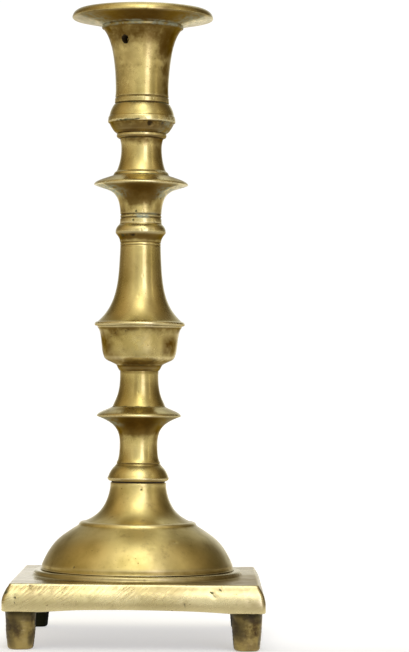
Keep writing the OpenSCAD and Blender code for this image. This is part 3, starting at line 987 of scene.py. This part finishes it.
def make_shaft():
    top = upper_stem_z - shaft_z
    waist, waist_r, cup_core_r = top - 12.8, 10.25, 12.0
    shaft = turned("shaft_piece", shaft_z, [
        (cup_core_r, -CUP_SPIGOT), (cup_core_r, 0), (21.6, 0), ((reach("shaft"), 1), 0.3), ((21.7, 2.2), 0.3),
        (21.2, 2.3), ((waist_r, waist), (-9.1, 8), (0.7, -18.7)), (waist_r, waist + 1.5),
        (waist_r - 0.25, waist + 1.7), (waist_r, waist + 1.9), (waist_r, waist + 2.9),
        (waist_r - 0.25, waist + 3.1), (waist_r + 0.05, waist + 3.3),
        ((12, waist + 7.2), (0.2, 2.2), (-0.7, -1)), ((12.65, waist + 8.4), 0.12),
        ((11.2, top - 0.8), (0.1, 1.8), (0.6, -0.8)), (10.7, top - 0.5), (10.7, top),
    ], [*boss(top), (BORE_R, -CUP_SPIGOT)])
    cleft(shaft, 12.0, 200.6, -62, -8, 0.8, 0.7)
    pitted(shaft, 61, 15, 12.6, 203.5, 10, 0.8, 8, 0.7)
    pitted(shaft, 62, 180, 11.5, 185, 70, 12, 24, 0.6)
    nicked(shaft, [
        (8, 10.7, 180.5, 0.9, 0.15), (-2, 13.2, 170.5, 0.8, 0.12), (25, 11.0, 187.0, 0.8, 0.15),
    ])
    hand_worn(shaft, 0.15, 14, 17)
    # stain patches; the pair on the left and right sides is painted shade
    aged(shaft, "stain_and_shade", [
        (-42, 200.4, 26, 1.6, 0.75), (30, 200.0, 40, 1.2, 0.45), (-62, 187, 14, 14, 0.35),
        (64, 185, 12, 14, 0.4), (180, 184, 50, 16, 0.35), (0, 163, 70, 6, 0.28),
    ])
    return shaft


def make_upper_stem():
    top = nozzle_z - upper_stem_z
    disc, disc_r = 19.1, reach("upper_stem")
    stem = turned("upper_stem_piece", upper_stem_z, [
        (10.5, 0), (10.5, 2.4), (10.1, 2.6), (10.1, 2.9), (10.45, 3.1), (10.4, 4), (10.05, 4.2), (10.05, 4.5),
        (10.4, 4.7), ((disc_r - 0.25, disc), (0.6, 12.6), (-7.3, -2.8)), ((disc_r - 0.15, disc + 0.8), 0.2),
        ((14.2, disc + 4.9), (-0.7, 1.5), (2.6, -1.0)), (13.9, disc + 5.2), ((12.75, disc + 6.9), 0.3),
        (12.5, disc + 7.0), ((10.2, top - 7.6), (-1.4, 3), (0, -4.4)),
        ((10.9, top - 2.7), (0, 2.4), (-0.3, -0.8)), (10.85, top - 2.5), ((12.5, top - 0.5), 0.7),
        (12.6, top - 0.2), (12.3, top),
    ], boss(top) + RECESS)
    nicked(stem, [
        (-12, 10.8, 212.6, 1.2, 0.5), (-20, 10.7, 208.3, 1.0, 0.4), (-3, 10.4, 247.0, 0.8, 0.25),
        (60, 12.0, 219.0, 1.3, 0.35), (-52, 10.9, 213.6, 1.0, 0.35),
    ])
    pitted(stem, 51, 0, 10.7, 210.5, 50, 1.6, 26, 0.7)
    pitted(stem, 52, 0, 12.0, 219, 50, 3, 14, 0.6)
    pitted(stem, 53, 180, 10.8, 236, 70, 7, 24, 0.6)
    faded(stem, "wear", 249, 252, 0.25)
    faded(stem, "under", 214, 226.3, 0.1, beyond=28)
    hand_worn(stem, 0.15, 12, 19)
    # stain patches, partly painted shade on the left and right sides
    aged(stem, "stain_and_shade", [
        (2, 222, 46, 4.2, 0.85), (-62, 213, 18, 9, 0.6), (58, 213, 16, 9, 0.6), (60, 244, 24, 6, 0.75),
        (-56, 243, 14, 7, 0.25), (-35, 236.5, 16, 3, 0.25), (170, 225, 60, 12, 0.45),
        (-78, 229.4, 42, 2.4, 0.5), (80, 229.4, 44, 2.4, 0.62),
    ])
    # crust in the grooves, and painted pale sheen at the ends of the disc's underside
    aged(stem, "crust_and_sheen", [
        (6, 210.4, 20, 1.2, 0.95), (40, 211.4, 22, 0.8, 0.4), (55, 232.5, 20, 0.9, 0.5),
        (-84, 223.2, 46, 3.2, 1.0), (84, 222.6, 44, 3.5, 0.9),
    ])
    return stem


HOLE_ANGLE = -31  # the extraction hole's, from the front
HOLE_R = 2.0
HOLE_DROP = 8.3  # below the pan
DRILL_LENGTH = 30


def drilled(nozzle):
    """Drills the extraction hole through the left front of the nozzle's wall, and darkens its wall."""
    aim = front_point(HOLE_ANGLE, 1, 0).normalized()
    centre = Vector((0, 0, (pan_z - HOLE_DROP) * MM))
    cone = bmesh.new()
    bmesh.ops.create_cone(
        cone, cap_ends=True, segments=40, radius1=HOLE_R * MM, radius2=HOLE_R * MM, depth=DRILL_LENGTH * MM
    )
    turn = Vector((0, 0, 1)).rotation_difference(aim).to_matrix().to_4x4()
    place = Matrix.Translation(aim * DRILL_LENGTH * MM / 2 + centre)
    bmesh.ops.transform(cone, matrix=place @ turn, verts=cone.verts)
    data = bpy.data.meshes.new("drill")
    cone.to_mesh(data)
    cone.free()
    drill = bpy.data.objects.new("drill", data)
    bpy.context.scene.collection.objects.link(drill)
    joined_solid(nozzle, drill, "DIFFERENCE")
    away = coordinates(nozzle) - np.array(centre)
    along = away @ np.array(aim)
    off_axis = np.linalg.norm(away - along[:, None] * np.array(aim), axis=1)
    soiled_and_shaded(nozzle, (along > 0) & (off_axis < (HOLE_R + 0.08) * MM))


def make_nozzle():
    top = pan_z - nozzle_z
    socket_r, depth = 11.25, 30
    mouth, mouth_r = top - SLEEVE, SLEEVE_R + 0.05
    floor = mouth - depth
    rod_end = floor - 7
    nozzle = turned("nozzle_piece", nozzle_z, [
        (0, rod_end), (ROD_R, rod_end), (ROD_R, RECESS_H), (RECESS_R, RECESS_H), (RECESS_R, 0), (12.2, 0),
        (12.9, 0.3), (13.8, 1.0), ((16.1, 4.7), 0.1), (16.2, 5.0), (16.85, 5.4), ((17, 6.6), 0.12),
        ((16.6, 8.6), 0.1), (16.35, 8.75), ((14, 14.6), 0.35), (13.4, 14.8), (13.4, 15.1), (13.7, 15.3),
        (13.65, 17.6), (13.25, 17.8), (13.25, 18.2), (13.5, 18.4), ((13.3, 23), (-0.2, 1.5), (0, -1.5)),
        ((19.7, top - 1.6), (0.4, 16.3), (-3.5, -3.5)), (20.3, top - 1.4), (20.5, top - 1.1), (20.5, top),
    ], [(mouth_r, top), (mouth_r, mouth), (socket_r, mouth), (socket_r, floor), (0, floor)], segments=256)
    cleft(nozzle, 16.4, 256.5, 2, 52, 1.0, 0.9)
    cleft(nozzle, 16.8, 257.7, -60, 10, 0.6, 0.5)
    cleft(nozzle, 16.6, 257.4, 110, 170, 0.6, 0.5)
    nicked(nozzle, [
        (17, 15.3, 255.6, 1.9, 0.45), (22, 15.6, 255.2, 1.2, 0.35), (-19, 16.0, 256.0, 0.8, 0.3),
        (23, 15.6, 255.4, 0.7, 0.3), (46, 13.9, 284.6, 0.9, 0.4), (-44, 14.1, 286.0, 0.9, 0.25),
        (-30, 13.5, 275.6, 0.9, 0.2), (6, 13.6, 269.0, 0.6, 0.2), (25, 13.7, 268.7, 0.7, 0.25),
    ])
    faded(nozzle, "wear", 303, 307, 0.0)
    faded(nozzle, "wear", 251, 253.5, 0.2)
    pitted(nozzle, 41, -42, 14.0, 288, 9, 4, 10, 0.6)
    pitted(nozzle, 42, 48, 13.9, 284, 6, 2.5, 9, 0.7)
    pitted(nozzle, 43, 0, 16.5, 256.5, 60, 1.2, 22, 0.6)
    pitted(nozzle, 44, 180, 13.8, 280, 60, 10, 30, 0.7)
    faded(nozzle, "under", 286, 306, 0.35)
    faded(nozzle, "under", 252.5, 258, 0.55)
    hand_worn(nozzle, 0.15, 14, 21)
    # stain patches, partly painted shade: those on the right of the neck paint its dark reflections, and those
    # on the sides paint shade
    aged(nozzle, "stain_and_shade", [
        (3, 298.8, 9, 3.4, 0.9), (6, 293, 5, 4, 0.4), (-38, 303.6, 26, 2.2, 0.6), (-63, 303.4, 8, 2.0, 0.95),
        (60, 297, 26, 9, 1.0), (30, 302.5, 20, 4, 0.7), (66, 282, 16, 10, 0.6), (40, 285, 22, 16, 0.35),
        (-60, 284, 14, 10, 0.25), (20, 296.5, 7, 5, 0.3), (0, 256.6, 400, 0.35, 0.5),
        (20, 255.2, 40, 1.8, 0.5), (-52, 257, 18, 2, 0.4), (-28, 252.6, 24, 0.7, 0.9), (180, 290, 50, 14, 0.4),
        (110, 268, 30, 6, 0.4), (-44, 294, 44, 9, 0.4), (0, 300, 400, 5, 0.75), (-48, 274, 36, 14, 0.2),
        (48, 276, 20, 14, 0.45),
    ])
    # painted shade on the right of the neck and under the pan
    aged(nozzle, "under", [(56, 297, 32, 10, 0.3), (62, 277, 18, 14, 0.2), (0, 301.5, 400, 4.5, 0.2)])
    aged(nozzle, "crust_and_sheen", [(62, 256.5, 20, 3.6, 0.45), (70, 252.8, 30, 0.9, 0.6), (0, 305.4, 400, 0.8, 0.8)])
    drilled(nozzle)
    return nozzle


def make_drip_pan():
    r, lip = reach("drip_pan"), high("drip_pan") - pan_z
    hole_r = 11.65
    dish = outline([
        (r - 3.4, lip - 0.2), ((hole_r + 2.5, 4.1), (-1.8, -3.4), (4, 0.4)), ((hole_r, 3.6), 0.15),
        (hole_r, -SLEEVE),
    ])
    pan = turned("drip_pan_piece", pan_z, [
        (SLEEVE_R, -SLEEVE), (SLEEVE_R, 0), (20.5, 0), ((r - 0.75, 3.4), (4.2, 1.3), (-3.4, -0.5)),
        ((r - 0.15, 4.4), 0.25), ((r - 2.6, lip), 0.55),
    ], dish, segments=256)
    nicked(pan, [
        (4, 34.9, 309.6, 1.1, 0.35), (10, 34.9, 309.7, 0.9, 0.3), (-30, 35.2, 310.6, 1.3, 0.2),
        (140, 35.0, 311.5, 1.5, 0.3),
    ])
    faded(pan, "wear", 305, 311.6, 0.15)
    faded(pan, "under", 306, 311, 0.7)
    faded(pan, "under", 306, 311, 0.1, beyond=42)
    hand_worn(pan, 0.2, 12, 23)
    # stain patches, partly painted: the wide patch under the front paints the neck's dark reflection, and the
    # side patches paint shade
    aged(pan, "stain_and_shade", [
        (2, 307.6, 52, 2.2, 0.75), (18, 310.6, 8, 0.9, 0.8), (62, 311, 14, 2.0, 0.5), (-100, 309, 40, 3, 0.4),
        (150, 309, 50, 3, 0.5),
    ])
    # crust at the joint, and painted pale sheen at the ends of the pan's underside
    aged(pan, "crust_and_sheen", [(0, 306.2, 400, 0.5, 0.55), (-78, 308, 34, 2.0, 0.6), (78, 308, 32, 2.0, 0.6)])
    return pan


dressed(make_plate(), "base_plate", "base", PLATE_BRASS)
dressed(make_dome(), "base_dome", "base", DOME_BRASS)
for foot_node, side_x, side_y in (
    ("foot_front_left", -1, -1), ("foot_front_right", 1, -1),
    ("foot_back_left", -1, 1), ("foot_back_right", 1, 1),
):
    dressed(make_foot(foot_node + "_piece", side_x, side_y), foot_node, "base", FOOT_BRASS)
dressed(make_washer(), "seam_washer", "washer", LEATHER_AND_SEAM_SHADE)
dressed(make_rod(), "tie_rod", "stem", IRON)
for stem_node, make in (
    ("knop", make_knop), ("lower_stem", make_lower_stem), ("cup", make_cup), ("shaft", make_shaft),
    ("upper_stem", make_upper_stem), ("nozzle", make_nozzle),
):
    dressed(make(), stem_node, "stem", STEM_BRASS)
dressed(make_drip_pan(), "drip_pan", "pan", STEM_BRASS)

# ---------------------------------------------------------------- floor, light and camera


FLOOR_HALF = 20.0  # m
AIM_Z = 0.16  # m above the floor, the height the lamps face


def make_floor():
    """Pale paper that glows behind the candlestick, far away all round, and in a pool in front of it."""
    data = bpy.data.meshes.new("floor")
    corners = [(x * FLOOR_HALF, y * FLOOR_HALF, 0) for x, y in ((-1, -1), (1, -1), (1, 1), (-1, 1))]
    data.from_pydata(corners, [], [(0, 1, 2, 3)])
    floor = bpy.data.objects.new("floor", data)
    bpy.context.scene.collection.objects.link(floor)
    n = Surface("floor_paper")
    paper = n.mix(n.noise(14, 3, 0.5), (0.62, 0.62, 0.615), (0.66, 0.66, 0.655))
    n.set("Base Color", paper)
    n.set("Roughness", 0.9)
    x, y, _ = n.parts()
    aside = n.math("DIVIDE", n.math("ABSOLUTE", x), n.math("MAXIMUM", n.plus(y, 1.25), 0.3))
    glow = n.times(n.ramp(y, -0.22, 0.03), n.ramp(aside, 0.36, 0.12))
    away = n.node("ShaderNodeVectorMath", operation="LENGTH")
    n.link(n.place, away.inputs[0])
    glow = n.math("MAXIMUM", glow, n.between(n.ramp(away.outputs["Value"], 0.45, 2.0), 0.16, 1.0))
    along = n.math("DIVIDE", n.math("SUBTRACT", x, 0.08), 0.75)
    deep = n.math("DIVIDE", n.plus(y, 0.85), 0.60)
    rho = n.math("SQRT", n.plus(n.times(along, along), n.times(deep, deep)))
    pool = n.times(n.ramp(rho, 1.0, 0.25), 0.45)
    n.set("Emission Color", (0.99, 0.99, 1.0, 1.0))
    n.set("Emission Strength", n.plus(n.times(glow, 0.58), pool))
    data.materials.append(n.material)


def softbox(name, azimuth, elevation, distance, width, height, glow, colour):
    """An evenly glowing panel that faces the candlestick. azimuth is from the front, positive to the right."""
    lamp = bpy.data.lights.new(name, "AREA")
    lamp.shape = "RECTANGLE"
    lamp.size, lamp.size_y = width, height
    lamp.energy = glow * math.pi * width * height
    lamp.color = colour
    obj = bpy.data.objects.new(name, lamp)
    bpy.context.scene.collection.objects.link(obj)
    a, e = math.radians(azimuth), math.radians(elevation)
    aim = Vector((0, 0, AIM_Z))
    obj.location = aim + distance * Vector((math.sin(a) * math.cos(e), -math.cos(a) * math.cos(e), math.sin(e)))
    obj.rotation_euler = (aim - obj.location).to_track_quat("-Z", "Y").to_euler()


# the room's light around the candlestick: degrees from the front, positive to the right, level and warmth
ROOM = (
    (-180, 0.80, 0.0), (-162, 0.70, 0.1), (-148, 0.38, 0.4), (-132, 0.26, 1.0), (-104, 0.36, 1.0),
    (-72, 0.52, 0.8), (-50, 0.68, 0.5), (-35, 0.92, 0.3), (-18, 0.76, 0.2), (-7, 0.85, 0.1), (2, 1.10, 0.0),
    (16, 1.25, 0.0), (35, 1.05, 0.1), (46, 0.55, 0.4), (78, 0.42, 0.7), (94, 0.22, 1.0), (126, 0.15, 1.0),
    (146, 0.22, 0.7), (160, 0.85, 0.0), (180, 0.95, 0.0),
)
OVERHEAD = (0.66, 0.64, 0.54)
BACKDROP = (1.05, 1.05, 1.05)
SKYLIGHT = (-0.03, -0.616, 0.787)  # the direction of a bright patch, high in front


def make_world():
    """A bright window in front and a warm room around it. The camera itself sees a plain backdrop."""
    world = bpy.data.worlds.new("studio")
    bpy.context.scene.world = world
    world.use_nodes = True
    n = Nodes(world.node_tree, "Generated")
    x, y, z = n.parts()
    azimuth = n.math("ARCTAN2", x, n.times(y, -1.0))
    wheel = n.node("ShaderNodeValToRGB")
    n.link(n.plus(n.math("DIVIDE", azimuth, 2 * math.pi), 0.5), wheel.inputs[0])
    elements = wheel.color_ramp.elements
    while len(elements) < len(ROOM):
        elements.new(0.5)
    for element, (degrees, level, warmth) in zip(elements, ROOM):
        element.position = degrees / 360 + 0.5
        element.color = (level, level * (1.04 - 0.26 * warmth), level * (1.06 - 0.62 * warmth), 1)

    def background(colour, strength):
        made = n.node("ShaderNodeBackground")
        n.plug(colour, made.inputs["Color"])
        n.plug(strength, made.inputs["Strength"])
        return made.outputs[0]

    colour = n.mix(n.ramp(z, 0.86, 0.985), wheel.outputs[0], OVERHEAD)
    colour = n.mix(n.ramp(y, 0.955, 0.98), colour, BACKDROP)
    dimmed = n.times(n.times(n.ramp(z, 0.15, 0.42), n.ramp(y, 0.1, 0.5)), -0.36)
    lifted = n.plus(n.plus(1.0, dimmed), n.times(n.ramp(z, 0.25, 0.75), 0.45))
    above = n.node("ShaderNodeVectorMath", operation="DOT_PRODUCT")
    n.link(n.place, above.inputs[0])
    above.inputs[1].default_value = SKYLIGHT
    skylight = n.times(n.ramp(above.outputs["Value"], 0.925, 1.0), 1.9)
    seen = n.node("ShaderNodeMixShader")
    n.link(n.node("ShaderNodeLightPath").outputs["Is Camera Ray"], seen.inputs[0])
    n.link(background(colour, n.plus(lifted, skylight)), seen.inputs[1])
    n.link(background((*BACKDROP, 1), 1.0), seen.inputs[2])
    n.link(seen.outputs[0], n.node("ShaderNodeOutputWorld").inputs[0])


def make_camera():
    """A long lens just above the plate, level with the lower stem."""
    data = bpy.data.cameras.new("camera")
    data.sensor_fit = "VERTICAL"
    data.sensor_height = 36
    data.lens = 138.0
    data.clip_start = 0.01
    data.clip_end = 50
    camera = bpy.data.objects.new("camera", data)
    bpy.context.scene.collection.objects.link(camera)
    camera.location = (0.0324, -1.25, 0.13)
    pitch, roll = math.radians(90 + 1.194), math.radians(0.55)
    camera.rotation_euler = (Matrix.Rotation(pitch, 3, "X") @ Matrix.Rotation(roll, 3, "Z")).to_euler()
    bpy.context.scene.camera = camera


make_floor()
softbox("window_right", 24, 14, 1.7, 0.52, 1.1, 1.4, (1.0, 1.0, 1.7))
softbox("strip_right", 65, 14, 1.8, 0.12, 1.5, 0.8, (1.0, 0.97, 0.85))
make_world()
make_camera()
bpy.context.scene.view_settings.view_transform = "Standard"
